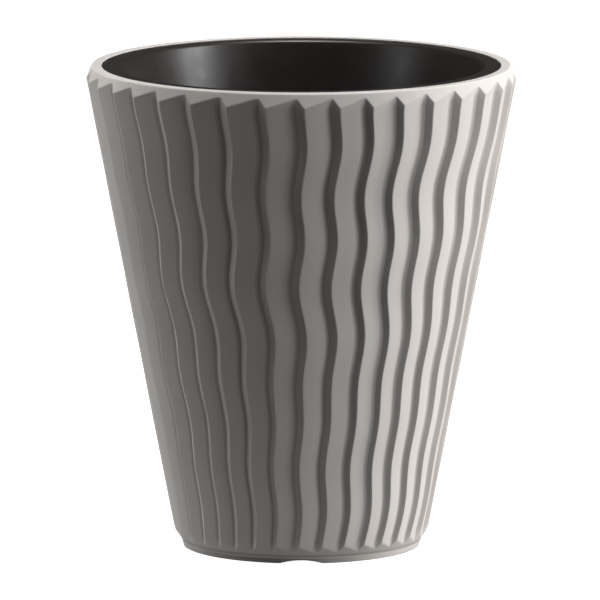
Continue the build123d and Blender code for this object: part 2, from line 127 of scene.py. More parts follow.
def add_floor():
    """A floor that glows nearly white, takes the object's shadow and throws no light back on it."""
    mesh = bpy.data.meshes.new("floor")
    ring = [(FLOOR_RADIUS * math.cos(TAU * i / FLOOR_CORNERS),
             FLOOR_RADIUS * math.sin(TAU * i / FLOOR_CORNERS), 0.0) for i in range(FLOOR_CORNERS)]
    mesh.from_pydata(ring, [], [list(range(FLOOR_CORNERS))])
    floor = bpy.data.objects.new("floor", mesh)
    put(floor)
    material, _, shader = new_material("floor_paper")
    set_inputs(shader, Base_Color=FLOOR_COLOUR, Roughness=FLOOR_ROUGHNESS,
               Specular_IOR_Level=FLOOR_SPECULAR, Emission_Color=WHITE, Emission_Strength=FLOOR_GLOW)
    mesh.materials.append(material)
    floor.visible_diffuse = False
    floor.visible_glossy = False


# Tall softboxes all round, as (direction, watts, whether it shows as a reflection). Little light comes
# from the front, so the ridges are raked from both sides.
SOFTBOXES = (
    (105, 96, False),
    (75, 44, True),
    (45, 10, False),
    (-70, 7, True),
    (-100, 24, False),
    (-130, 52, False),
)
SOFTBOX_DISTANCE = 2.6
SOFTBOX_SIZE = (0.7, 2.0)
SOFTBOX_ELEVATION = 12
SOFTBOX_AIM = 0.25
OVERHEAD_POWER = 56
OVERHEAD_SIZE = (0.7, 2.0)
OVERHEAD_ELEVATION = 88
BOUNCE_POWER = 0.45
BOUNCE_SIZE = (0.8, 0.8)
BOUNCE_HEIGHT = 0.004
BOUNCE_ELEVATION = -90
BOUNCE_DISTANCE = 1.0


def light_scene():
    """The world, the softboxes, one light overhead and a weak one that shines up from the floor."""
    add_world()
    for direction, power, reflected in SOFTBOXES:
        light = add_softbox(f"softbox_{direction % 360}", direction, SOFTBOX_ELEVATION,
                            SOFTBOX_DISTANCE, SOFTBOX_SIZE, power, SOFTBOX_AIM)
        light.visible_glossy = reflected
    add_softbox("softbox_overhead", 0, OVERHEAD_ELEVATION, SOFTBOX_DISTANCE, OVERHEAD_SIZE,
                OVERHEAD_POWER, SOFTBOX_AIM)
    add_softbox("floor_bounce", 0, BOUNCE_ELEVATION, BOUNCE_DISTANCE, BOUNCE_SIZE, BOUNCE_POWER,
                BOUNCE_DISTANCE + BOUNCE_HEIGHT)


# ---- procedural materials ----------------------------
def new_material(name):
    """A new material, its node tree and its shader."""
    material = bpy.data.materials.new(name)
    material.use_nodes = True
    return material, material.node_tree, material.node_tree.nodes["Principled BSDF"]


def set_inputs(node, **values):
    """Sets sockets by name, with _ for a space."""
    for name, value in values.items():
        node.inputs[name.replace("_", " ")].default_value = value


def noise(tree, scale, detail=3.0, roughness=0.55, stretch=None):
    """Noise in the object's own metres, optionally stretched along an axis."""
    place = tree.nodes.new("ShaderNodeTexCoord")
    texture = tree.nodes.new("ShaderNodeTexNoise")
    set_inputs(texture, Scale=scale, Detail=detail, Roughness=roughness)
    source = place.outputs["Object"]
    if stretch:
        mapping = tree.nodes.new("ShaderNodeMapping")
        set_inputs(mapping, Scale=stretch)
        tree.links.new(source, mapping.inputs["Vector"])
        source = mapping.outputs["Vector"]
    tree.links.new(source, texture.inputs["Vector"])
    return texture.outputs["Fac"]


def spread(tree, source, low, high, from_low=0.3, from_high=0.7):
    """Maps a noise value onto a range."""
    node = tree.nodes.new("ShaderNodeMapRange")
    set_inputs(node, From_Min=from_low, From_Max=from_high, To_Min=low, To_Max=high)
    tree.links.new(source, node.inputs["Value"])
    return node.outputs["Result"]


# A Mix node's colour sockets by index, since its sockets for other types carry the same names.
MIX_FIRST, MIX_SECOND, MIX_RESULT = 6, 7, 2


def mix_colours(tree, factor, first, second):
    """A colour between two others; each is a colour or a node's output."""
    node = tree.nodes.new("ShaderNodeMix")
    node.data_type = "RGBA"
    tree.links.new(factor, node.inputs["Factor"])
    for socket, colour in ((MIX_FIRST, first), (MIX_SECOND, second)):
        if isinstance(colour, tuple):
            node.inputs[socket].default_value = (*colour, 1.0)
        else:
            tree.links.new(colour, node.inputs[socket])
    return node.outputs[MIX_RESULT]


def multiplied(tree, source, factor):
    """A value times another; the factor is a number or a node's output."""
    node = tree.nodes.new("ShaderNodeMath")
    node.operation = "MULTIPLY"
    tree.links.new(source, node.inputs[0])
    if isinstance(factor, float):
        node.inputs[1].default_value = factor
    else:
        tree.links.new(factor, node.inputs[1])
    return node.outputs[0]


def scaled(colour, factor):
    return tuple(min(channel * factor, 1.0) for channel in colour)


def add_bump(tree, layers):
    """Bumps stacked from (height source, depth in metres) pairs; returns the last normal."""
    normal = None
    for height, depth in layers:
        bump = tree.nodes.new("ShaderNodeBump")
        set_inputs(bump, Strength=1.0, Distance=depth)
        tree.links.new(height, bump.inputs["Height"])
        if normal is not None:
            tree.links.new(normal, bump.inputs["Normal"])
        normal = bump.outputs["Normal"]
    return normal


def attribute(tree, name):
    node = tree.nodes.new("ShaderNodeAttribute")
    node.attribute_name = name
    return node.outputs["Fac"]


GLOSS_SPREAD = 0.05


def moulded_plastic(name, colour, roughness, grain_scale=1400.0, grain_depth=0.00003,
                    variation=0.05, specular=0.5):
    """Moulded plastic: spark-eroded grain, faint flow marks and uneven gloss."""
    material, tree, shader = new_material(name)
    clouds = noise(tree, 9.0, 4.0)
    tone = spread(tree, clouds, 0.0, 1.0)
    low, high = scaled(colour, 1 - variation), scaled(colour, 1 + variation)
    tree.links.new(mix_colours(tree, tone, low, high), shader.inputs["Base Color"])
    gloss = noise(tree, 60.0, 4.0)
    tree.links.new(spread(tree, gloss, roughness - GLOSS_SPREAD, roughness + GLOSS_SPREAD),
                   shader.inputs["Roughness"])
    grain = noise(tree, grain_scale, 2.0)
    tree.links.new(add_bump(tree, [(grain, grain_depth)]), shader.inputs["Normal"])
    set_inputs(shader, Specular_IOR_Level=specular)
    return material


POT_COLOUR = (0.515, 0.486, 0.463)
POT_VARIATION = 0.025
WORN_BRIGHTNESS = 1.22
# Painted shade: the colour that valleys, narrow faces and concave corners are darkened towards, and how
# far.
SHADE_COLOUR = (0.275, 0.240, 0.220)
SHADE_SHARE = 0.9
ANTHRACITE = (0.021, 0.018, 0.0165)
BASKET_GREY = (0.13, 0.13, 0.135)
MARKER_RED = (0.62, 0.025, 0.018)


def pot_plastic():
    """Matte light-grey plastic: fine grain, paler rubbed crests, and painted shade: a darker colour in the
    valleys, on the narrow faces and in concave corners.

    The darker colour is no dirt. It stands in for shade that the lights do not give by themselves."""
    material, tree, shader = new_material("pot_plastic")
    clouds = spread(tree, noise(tree, 7.0, 5.0), 0.0, 1.0)
    low, high = scaled(POT_COLOUR, 1 - POT_VARIATION), scaled(POT_COLOUR, 1 + POT_VARIATION)
    body = mix_colours(tree, clouds, low, high)
    patches = spread(tree, noise(tree, 45.0, 3.0), 0.2, 0.8)
    worn_share = multiplied(tree, attribute(tree, "crest"), patches)
    worn = mix_colours(tree, worn_share, body, scaled(POT_COLOUR, WORN_BRIGHTNESS))
    # Painted shade: the valley attribute darkens the colour where shade should fall.
    shade_share = multiplied(tree, attribute(tree, "valley"), SHADE_SHARE)
    shaded = mix_colours(tree, shade_share, worn, SHADE_COLOUR)
    tree.links.new(shaded, shader.inputs["Base Color"])
    gloss = noise(tree, 90.0, 4.0)
    tree.links.new(spread(tree, gloss, 0.52, 0.66), shader.inputs["Roughness"])
    grain = noise(tree, 1500.0, 2.0)
    ripple = noise(tree, 35.0, 2.0, stretch=(1.0, 1.0, 0.35))
    normal = add_bump(tree, [(ripple, 0.00025), (grain, 0.00004)])
    tree.links.new(normal, shader.inputs["Normal"])
    set_inputs(shader, Specular_IOR_Level=0.35)
    return material


def black_rubber():
    material, tree, shader = new_material("black_rubber")
    bloom = spread(tree, noise(tree, 120.0, 4.0), 0.0, 1.0)
    tree.links.new(mix_colours(tree, bloom, (0.012, 0.012, 0.012), (0.035, 0.034, 0.033)),
                   shader.inputs["Base Color"])
    tree.links.new(spread(tree, noise(tree, 300.0), 0.6, 0.8), shader.inputs["Roughness"])
    grain = noise(tree, 2500.0, 2.0)
    tree.links.new(add_bump(tree, [(grain, 0.00003)]), shader.inputs["Normal"])
    return material


def pin_steel():
    """Drawn stainless wire: fine scratches round the pin."""
    material, tree, shader = new_material("pin_steel")
    set_inputs(shader, Metallic=1.0)
    scratches = noise(tree, 900.0, 3.0, stretch=(4.0, 1.0, 1.0))
    tree.links.new(mix_colours(tree, scratches, (0.45, 0.45, 0.46), (0.62, 0.62, 0.63)),
                   shader.inputs["Base Color"])
    tree.links.new(spread(tree, scratches, 0.2, 0.4), shader.inputs["Roughness"])
    tree.links.new(add_bump(tree, [(scratches, 0.00001)]), shader.inputs["Normal"])
    return material


def float_foam():
    """White foam made of fused beads."""
    material, tree, shader = new_material("float_foam")
    place = tree.nodes.new("ShaderNodeTexCoord")
    beads = tree.nodes.new("ShaderNodeTexVoronoi")
    beads.feature = "DISTANCE_TO_EDGE"
    set_inputs(beads, Scale=420.0)
    tree.links.new(place.outputs["Object"], beads.inputs["Vector"])
    seams = spread(tree, beads.outputs["Distance"], 0.0, 1.0, 0.0, 0.12)
    tree.links.new(mix_colours(tree, seams, (0.66, 0.66, 0.63), (0.85, 0.85, 0.83)),
                   shader.inputs["Base Color"])
    tree.links.new(add_bump(tree, [(seams, 0.00012)]), shader.inputs["Normal"])
    set_inputs(shader, Roughness=0.7)
    return material


def clear_plastic():
    """Clear moulded polystyrene with faint ripples."""
    material, tree, shader = new_material("clear_plastic")
    set_inputs(shader, Transmission_Weight=1.0, IOR=1.49, Roughness=0.04)
    tint = spread(tree, noise(tree, 80.0), 0.0, 1.0)
    tree.links.new(mix_colours(tree, tint, (0.93, 0.96, 0.96), (0.98, 1.0, 1.0)),
                   shader.inputs["Base Color"])
    ripples = noise(tree, 160.0, 2.0)
    tree.links.new(add_bump(tree, [(ripples, 0.00005)]), shader.inputs["Normal"])
    return material


def make_materials():
    return {
        "pot_plastic": pot_plastic(),
        "anthracite_plastic": moulded_plastic("anthracite_plastic", ANTHRACITE, 0.36, specular=0.75),
        "basket_plastic": moulded_plastic("basket_plastic", BASKET_GREY, 0.45, variation=0.1),
        "black_rubber": black_rubber(),
        "pin_steel": pin_steel(),
        "float_foam": float_foam(),
        "marker_red": moulded_plastic("marker_red", MARKER_RED, 0.25, grain_depth=0.00001),
        "clear_plastic": clear_plastic(),
    }


# ---- mesh building -----------------------------------
CORNER_STEPS = 3
ROUNDING_LIMIT = 0.42  # longest rounding, as a share of the side it lies on
SUPPORT = 0.12
SUPPORT_LIMIT = 0.05  # furthest support point, as a share of the side it lies on
SHARP_ANGLE = 30
SOFTEN_ANGLE = 35
WELD_DISTANCE = 0.000002
SMALL_CIRCLE_STEPS = 24
CUT_MARGIN = 1  # how far a cutter reaches past what it cuts
STRAIGHT = Matrix.Identity(4)
# Stands an outline up: its first measure runs along Y, its second upwards, and the bar along X.
UPRIGHT = Matrix(((0, 0, 1, 0), (1, 0, 0, 0), (0, 1, 0, 0), (0, 0, 0, 1)))


def round_corner(before, corner, after, rounding, steps=CORNER_STEPS, rounding_after=None):
    """Points of one rounded corner of an outline, with a support point on each side of the curve.

    The curve may reach further along the side after the corner than along the side before it."""
    before, corner, after = Vector(before), Vector(corner), Vector(after)
    to_before, to_after = before - corner, after - corner
    rounding_after = rounding_after or rounding
    start = corner + to_before.normalized() * min(rounding, ROUNDING_LIMIT * to_before.length)
    end = corner + to_after.normalized() * min(rounding_after, ROUNDING_LIMIT * to_after.length)
    support = min(SUPPORT, 0.5 * rounding)
    points = [start + to_before.normalized() * min(support, SUPPORT_LIMIT * to_before.length)]
    for i in range(steps + 1):
        t = i / steps
        points.append((1 - t) ** 2 * start + 2 * t * (1 - t) * corner + t ** 2 * end)
    points.append(end + to_after.normalized() * min(support, SUPPORT_LIMIT * to_after.length))
    return points


def rounded(outline, closed=True):
    """Points (x, y) of an outline of (x, y, rounding) corners; an open outline keeps its two ends."""
    points = []
    count = len(outline)
    for i, (x, y, rounding) in enumerate(outline):
        is_end = not closed and i in (0, count - 1)
        if rounding <= 0 or is_end:
            points.append(Vector((x, y)))
        else:
            before, after = outline[i - 1][:2], outline[(i + 1) % count][:2]
            points += round_corner(before, (x, y), after, rounding)
    return points


def mesh_object(name, vertices, faces, sharp_angle=None):
    """An object from vertices in millimetres; faces are smooth, with sharp edges past an angle."""
    mesh = bpy.data.meshes.new(name)
    mesh.from_pydata([Vector(v) * MM for v in vertices], [], faces)
    edit = bmesh.new()
    edit.from_mesh(mesh)
    bmesh.ops.recalc_face_normals(edit, faces=edit.faces)
    edit.to_mesh(mesh)
    edit.free()
    mesh.shade_smooth()
    if sharp_angle is not None:
        mesh.set_sharp_from_angle(angle=math.radians(sharp_angle))
    piece = bpy.data.objects.new(name, mesh)
    put(piece)
    return piece


def ring_faces(first, second, count):
    """Quads between two rings of vertices that start at two indices."""
    return [(first + i, first + (i + 1) % count, second + (i + 1) % count, second + i)
            for i in range(count)]


def lathe(name, outline, place=(0.0, 0.0), steps=96, turn=STRAIGHT, wobble=None, sharp_angle=None):
    """A solid turned from an outline of (radius, height, rounding) corners about an upright axis.

    The outline closes on itself, or starts and ends on the axis. wobble(angle, radius, height)
    may change a point's radius. turn is applied to the upright solid, before it is put in place."""
    on_axis = outline[0][0] == 0
    vertices, rings = [], []
    for radius, height in rounded(outline, closed=not on_axis):
        rings.append(len(vertices))
        if radius < 1e-6:
            vertices.append(Vector((0, 0, height)))
            continue
        for i in range(steps):
            angle = TAU * i / steps
            reach = wobble(angle, radius, height) if wobble else radius
            vertices.append(Vector((reach * math.cos(angle), reach * math.sin(angle), height)))
    faces = []
    pairs = list(zip(rings, rings[1:])) if on_axis else list(zip(rings, rings[1:] + rings[:1]))
    for first, second in pairs:
        if on_axis and first == rings[0]:
            faces += [(first, second + (i + 1) % steps, second + i) for i in range(steps)]
        elif on_axis and second == rings[-1]:
            faces += [(first + i, first + (i + 1) % steps, second) for i in range(steps)]
        else:
            faces += ring_faces(first, second, steps)
    shift = Vector((place[0], place[1], 0.0))
    return mesh_object(name, [turn @ v + shift for v in vertices], faces, sharp_angle)


def bar(outline, low, high, turn=STRAIGHT):
    """Vertices and faces of a straight bar with an outline of (x, y, rounding) corners, from z = low
    to z = high, then moved by a matrix."""
    points = rounded(outline)
    count = len(points)
    vertices = [turn @ Vector((x, y, height)) for height in (low, high) for x, y in points]
    faces = ring_faces(0, count, count)
    faces += [tuple(range(count)), tuple(range(count, 2 * count))]
    return vertices, faces


def prism(name, outline, low, high, turn=STRAIGHT):
    return mesh_object(name, *bar(outline, low, high, turn), SHARP_ANGLE)


def added(geometry, more):
    """The vertices and faces of two lots of geometry as one."""
    vertices, faces = geometry
    start = len(vertices)
    return vertices + more[0], faces + [tuple(start + i for i in face) for face in more[1]]


def box_outline(x_low, x_high, y_low, y_high, rounding):
    return [(x_low, y_low, rounding), (x_high, y_low, rounding),
            (x_high, y_high, rounding), (x_low, y_high, rounding)]


def circle_outline(radius, steps, centre=(0.0, 0.0)):
    return [(centre[0] + radius * math.cos(TAU * i / steps),
             centre[1] + radius * math.sin(TAU * i / steps), 0) for i in range(steps)]


def baked(piece):
    """Applies a piece's modifiers."""
    bpy.context.view_layer.update()
    graph = bpy.context.evaluated_depsgraph_get()
    mesh = bpy.data.meshes.new_from_object(piece.evaluated_get(graph))
    piece.modifiers.clear()
    piece.data = mesh
    return piece


def weld(piece):
    """Merges points that lie within two microns of each other."""
    edit = bmesh.new()
    edit.from_mesh(piece.data)
    bmesh.ops.remove_doubles(edit, verts=edit.verts, dist=WELD_DISTANCE)
    loose = [vertex for vertex in edit.verts if not vertex.link_faces]
    bmesh.ops.delete(edit, geom=loose, context="VERTS")
    edit.to_mesh(piece.data)
    edit.free()


def combine(piece, others, operation="DIFFERENCE"):
    """Cuts other pieces from a piece, or joins them to it, and removes them."""
    for other in others:
        modifier = piece.modifiers.new("combine", "BOOLEAN")
        modifier.operation = operation
        modifier.solver = "EXACT"
        modifier.object = other
    baked(piece)
    for other in others:
        bpy.data.objects.remove(other)
    weld(piece)
    piece.data.shade_smooth()
    piece.data.set_sharp_from_angle(angle=math.radians(SHARP_ANGLE))
    return piece


def soften(piece, width, steps=2):
    """Rounds a piece's sharp edges."""
    modifier = piece.modifiers.new("soften", "BEVEL")
    modifier.width = width * MM
    modifier.segments = steps
    modifier.limit_method = "ANGLE"
    modifier.angle_limit = math.radians(SOFTEN_ANGLE)
    modifier.harden_normals = True
    return baked(piece)


def finish_piece(piece, slot, node, body="liner"):
    """Gives a piece its material and its body, and puts it in its CAD node's place."""
    piece.name = node + "_detailed"
    piece.data.materials.clear()
    piece.data.materials.append(MATERIALS[slot])
    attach(piece, body)
    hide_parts(node)


def turned_piece(node, outline, slot, steps=96, body="liner"):
    """A piece that is only turned, standing where its CAD node stands."""
    finish_piece(lathe(node, outline, place_of(node), steps), slot, node, body)


def low_of(node):
    """Lowest height of a CAD node, in millimetres."""
    return NODE_BOXES[node][0].z / MM


def top_of(node):
    """Highest height of a CAD node, in millimetres."""
    return NODE_BOXES[node][1].z / MM


def span_of(node):
    return low_of(node), top_of(node)


def place_of(node):
    """Where a CAD node's middle stands, in millimetres."""
    low, high = NODE_BOXES[node]
    return ((low.x + high.x) / 2 / MM, (low.y + high.y) / 2 / MM)


def radius_of(node):
    """Half a CAD node's width, in millimetres."""
    low, high = NODE_BOXES[node]
    return (high.x - low.x) / 2 / MM


def cutter_disc(radius, low, high, place=(0.0, 0.0), steps=40):
    return prism("cutter", circle_outline(radius, steps, place), low, high)


def slot_cutters(count, width, low, high, reach, place):
    """Upright slots with rounded ends, pointing outwards all round a place."""
    outline = box_outline(-width / 2, width / 2, low, high, width / 2)
    cutters = []
    for i in range(count):
        turn = Matrix.Rotation(TAU * i / count, 4, "Z") @ UPRIGHT
        turn = Matrix.Translation((place[0], place[1], 0)) @ turn
        cutters.append(prism("cutter", outline, 0.5 * reach, reach, turn))
    return cutters


# ---- outer pot ---------------------------------------
# The same cone, ridges and ripples as the CAD model, in millimetres and degrees.
RIDGES = 36
PITCH = 360.0 / RIDGES
BROAD_FACE_SHARE = 0.776
RIDGE_DEPTH_SHARE = 0.026
CREST_ROUNDING = 0.8
VALLEY_BROAD_ROUNDING, VALLEY_NARROW_ROUNDING = 5.5, 1.6
VALLEY_STEPS = 6
# Painted shade on the narrow faces of the ridges, as a share of the full darkening.
NARROW_FACE_SHADE = 0.5
BROAD_COLUMNS = 4
WALL_ROWS = 54
WALL_TOP_CORNER = 3  # pot_outline's corner at the top of the ridged wall
VISIBLE_CORNERS = 6  # its first corners, which are seen and rounded more finely
HIDDEN_CORNER_STEPS = 2
POT_SHARP_ANGLE = 50

CONE_LOW_RADIUS, CONE_LOW = 115.6, 14.0
CONE_HIGH_RADIUS, CONE_HIGH = 195.0, 427.0
CONE_SLOPE = (CONE_HIGH_RADIUS - CONE_LOW_RADIUS) / (CONE_HIGH - CONE_LOW)
SHOULDER_SLOPE = -0.375
FOOT_CHAMFER_SLOPE = 1 / 1.4
FOOT_RADIUS, FOOT_TOP_RADIUS, FOOT_INNER_RADIUS = 108.0, 109.5, 104.5
FOOT_HEIGHT = 7.0
NOTCHES, NOTCH_WIDTH, NOTCH_HEIGHT = 4, 39.0, 3.0
POT_HEIGHT = NODE_BOXES["outer_pot"][1].z / MM
POT_WALL = 3.0
PLATE_LOW, PLATE_TOP = 9.0, 12.0
BRACE_LOW = 424.0
LEDGE_RADIUS, LEDGE_LOW, LEDGE_TOP = 176.5, 433.5, 436.5
REBATE_RADIUS = 181.2
DRAIN_BOSS_RADIUS, DRAIN_BOSS_TOP, DRAIN_HOLE_RADIUS = 15.0, 16.0, 9.5
BASE_RIBS, BASE_RIB_THICKNESS, BASE_RIB_LOW = 8, 2.5, 4.0
BASE_RIB_START = 22.0
BASE_RIB_END_OVERLAP, BASE_RIB_TOP_OVERLAP = 0.5, 0.3

# Slow waves as (degrees, waves over the pot's height, waves round the pot, phase in degrees).
RIPPLES = (
    (1.20, 0.00, 2, 80),
    (0.75, 0.30, 5, 242),
    (0.50, 0.55, 3, 174),
    (0.70, 1.03, 0, 247),
    (0.42, 2.27, -2, 10),
    (0.33, 3.60, 1, 157),
    (0.70, 5.16, 0, 173),
)


def sway(angle, height):
    """Degrees by which a ridge leans from its straight place at a height."""
    total = 0.0
    for amplitude, waves, turns, phase in RIPPLES:
        along = 360 * waves * height / POT_HEIGHT + turns * angle + phase
        total += amplitude * math.cos(math.radians(along))
    return total


def ridge_columns():
    """One ridge's columns: a sharp crest, a broad face, a soft valley and a narrow face.

    Each is (share of the pitch, depth as a share of the radius, how worn it is, how much painted shade it
    gets)."""
    pitch_length = TAU * CONE_HIGH_RADIUS / RIDGES
    depth = RIDGE_DEPTH_SHARE * CONE_HIGH_RADIUS
    crest, next_crest = (0.0, 0.0), (pitch_length, 0.0)
    valley = (BROAD_FACE_SHARE * pitch_length, depth)
    last_valley = (valley[0] - pitch_length, depth)
    top = round_corner(last_valley, crest, valley, CREST_ROUNDING)
    bottom = round_corner(crest, valley, next_crest, VALLEY_BROAD_ROUNDING, VALLEY_STEPS,
                          VALLEY_NARROW_ROUNDING)
    broad = [top[-1].lerp(bottom[0], (i + 1) / (BROAD_COLUMNS + 1)) for i in range(BROAD_COLUMNS)]
    columns = []
    for i, point in enumerate(top):
        on_crest = 1 < i < len(top) - 2
        columns.append((point, 1.0 if on_crest else 0.0, NARROW_FACE_SHADE if i == 0 else 0.0))
    columns += [(point, 0.0, 0.0) for point in broad]
    middle = (len(bottom) - 1) / 2
    for i, point in enumerate(bottom):
        least = NARROW_FACE_SHADE if i > middle else 0.0
        columns.append((point, 0.0, max(least, 1 - abs(i - middle) / middle)))
    return [(point.x / pitch_length, point.y / CONE_HIGH_RADIUS, high, low)
            for point, high, low in columns]


def notch_height(angle):
    """Height of the foot's lower edge: shallow arches on the four sides."""
    span = 360.0 / NOTCHES
    off = (angle + span / 2) % span - span / 2
    across = FOOT_RADIUS * math.sin(math.radians(off))
    if abs(across) >= NOTCH_WIDTH / 2:
        return 0.0
    arch_radius = ((NOTCH_WIDTH / 2) ** 2 + NOTCH_HEIGHT ** 2) / (2 * NOTCH_HEIGHT)
    return math.sqrt(arch_radius ** 2 - across ** 2) - (arch_radius - NOTCH_HEIGHT)


def cone_radius(height):
    """Radius of the cone that the crests lie on."""
    return CONE_LOW_RADIUS + CONE_SLOPE * (height - CONE_LOW)


def meeting_height(depth, radius, height, slope):
    """Where the wall of one column meets a chamfer, a line through (radius, height)."""
    share = 1 - depth
    wall_at_zero = (CONE_LOW_RADIUS - CONE_SLOPE * CONE_LOW) * share
    return (radius - slope * height - wall_at_zero) / (CONE_SLOPE * share - slope)


def pot_outline(depth, notch):
    """One column's closed outline as (radius, height, rounding, wear, painted shade): up the outside, over
    the rim, down the inside and back along the underside. The painted shade darkens the concave corners."""
    def wall(height):
        return cone_radius(height) * (1 - depth)

    def inner_wall(height):
        return cone_radius(height) * (1 - RIDGE_DEPTH_SHARE) - POT_WALL

    low = meeting_height(depth, FOOT_TOP_RADIUS, FOOT_HEIGHT, FOOT_CHAMFER_SLOPE)
    high = meeting_height(depth, CONE_HIGH_RADIUS, CONE_HIGH, SHOULDER_SLOPE)
    rim_radius = CONE_HIGH_RADIUS + SHOULDER_SLOPE * (POT_HEIGHT - CONE_HIGH)
    return [
        (FOOT_RADIUS, notch, 0.6, 0.8, 0.0),
        (FOOT_TOP_RADIUS, FOOT_HEIGHT, 2.2, 0.0, 0.8),
        (wall(low), low, 1.2, 0.4, 0.0),
        (wall(high), high, 0.9, 0.5, 0.0),
        (rim_radius, POT_HEIGHT, 1.5, 0.8, 0.0),
        (REBATE_RADIUS, POT_HEIGHT, 0.5, 0.8, 0.0),
        (REBATE_RADIUS, LEDGE_TOP, 0.3, 0.0, 0.5),
        (LEDGE_RADIUS, LEDGE_TOP, 0.5, 0.0, 0.0),
        (LEDGE_RADIUS, LEDGE_LOW, 0.5, 0.0, 0.0),
        (inner_wall(BRACE_LOW), BRACE_LOW, 2.0, 0.0, 0.0),
        (inner_wall(PLATE_TOP), PLATE_TOP, 3.0, 0.0, 0.6),
        (DRAIN_BOSS_RADIUS, PLATE_TOP, 0.8, 0.0, 0.4),
        (DRAIN_BOSS_RADIUS, DRAIN_BOSS_TOP, 0.6, 0.0, 0.0),
        (DRAIN_HOLE_RADIUS, DRAIN_BOSS_TOP, 0.5, 0.0, 0.0),
        (DRAIN_HOLE_RADIUS, PLATE_LOW, 0.4, 0.0, 0.0),
        (FOOT_INNER_RADIUS, PLATE_LOW, 1.0, 0.0, 0.5),
        (FOOT_INNER_RADIUS, notch, 0.5, 0.8, 0.0),
    ]


def pot_column(depth, notch, crest, valley):
    """Points (radius, height, wear, painted shade) round one column."""
    corners = pot_outline(depth, notch)
    points = []
    for i, (radius, height, rounding, wear, shade) in enumerate(corners):
        before, after = corners[i - 1][:2], corners[(i + 1) % len(corners)][:2]
        steps = CORNER_STEPS if i < VISIBLE_CORNERS else HIDDEN_CORNER_STEPS
        arc = round_corner(before, (radius, height), after, rounding, steps)
        if i == WALL_TOP_CORNER:
            start = Vector(points[-1][:2])
            for row in range(1, WALL_ROWS):
                point = start.lerp(arc[0], row / WALL_ROWS)
                points.append((point.x, point.y, crest, valley))
        for k, point in enumerate(arc):
            on_arc = 1.0 if 1 < k < len(arc) - 2 else 0.0
            points.append((point.x, point.y, wear * on_arc, shade * on_arc))
    return points


def pot_ribs():
    """Ribs under the base plate."""
    half = BASE_RIB_THICKNESS / 2
    end = FOOT_INNER_RADIUS + BASE_RIB_END_OVERLAP
    outline = box_outline(BASE_RIB_START, end, -half, half, 0.3)
    ribs = ([], [])
    for i in range(BASE_RIBS):
        turn = Matrix.Rotation(TAU * (i + 0.5) / BASE_RIBS, 4, "Z")
        ribs = added(ribs, bar(outline, BASE_RIB_LOW, PLATE_LOW + BASE_RIB_TOP_OVERLAP, turn))
    return ribs


def set_attribute(mesh, name, values):
    """Stores one number for each point; points past the last value get nought."""
    layer = mesh.attributes.new(name, "FLOAT", "POINT")
    filled = values + [0.0] * (len(mesh.vertices) - len(values))
    layer.data.foreach_set("value", filled)


def build_outer_pot():
    """The columns of all ridges, joined into a closed wall, with the ribs under the base."""
    vertices, wear_values, shade_values = [], [], []
    columns = ridge_columns()
    for ridge in range(RIDGES):
        for share, depth, crest, valley in columns:
            angle = (ridge + share) * PITCH
            notch = notch_height(angle + sway(angle, 0.0))
            for radius, height, wear, shade in pot_column(depth, notch, crest, valley):
                turn = math.radians(angle + sway(angle, height))
                vertices.append(Vector((radius * math.sin(turn), -radius * math.cos(turn), height)))
                wear_values.append(wear)
                shade_values.append(shade)
    column_count = RIDGES * len(columns)
    size = len(vertices) // column_count
    faces = []
    for column in range(column_count):
        faces += ring_faces(column * size, (column + 1) % column_count * size, size)
    piece = mesh_object("outer_pot", *added((vertices, faces), pot_ribs()))
    piece.data.set_sharp_from_angle(angle=math.radians(POT_SHARP_ANGLE))
    set_attribute(piece.data, "crest", wear_values)
    # The painted shade goes into the valley attribute.
    set_attribute(piece.data, "valley", shade_values)
    finish_piece(piece, "pot_plastic", "outer_pot", "outer_pot")


# ---- drain plug --------------------------------------
THREAD_PITCH = 3.0
THREAD_DEPTH = 0.7
PLUG_HEAD_RADIUS, PLUG_HEAD_TOP = 16.0, 6.0
PLUG_SHANK_RADIUS = 9.2
PLUG_RECESS_RADIUS, PLUG_RECESS_DEPTH = 13.0, 3.0
PLUG_BAR_WIDTH, PLUG_BAR_INSET, PLUG_BAR_OVERLAP = 5.0, 0.3, 0.5
PLUG_TIP_CHAMFER = 1.0
THREAD_ROWS = 56
THREAD_LOW_GAP, THREAD_TOP_GAP = 1.0, 1.2
THREAD_RUN_OUT = 1.2
THREAD_STEEPNESS = 3.2


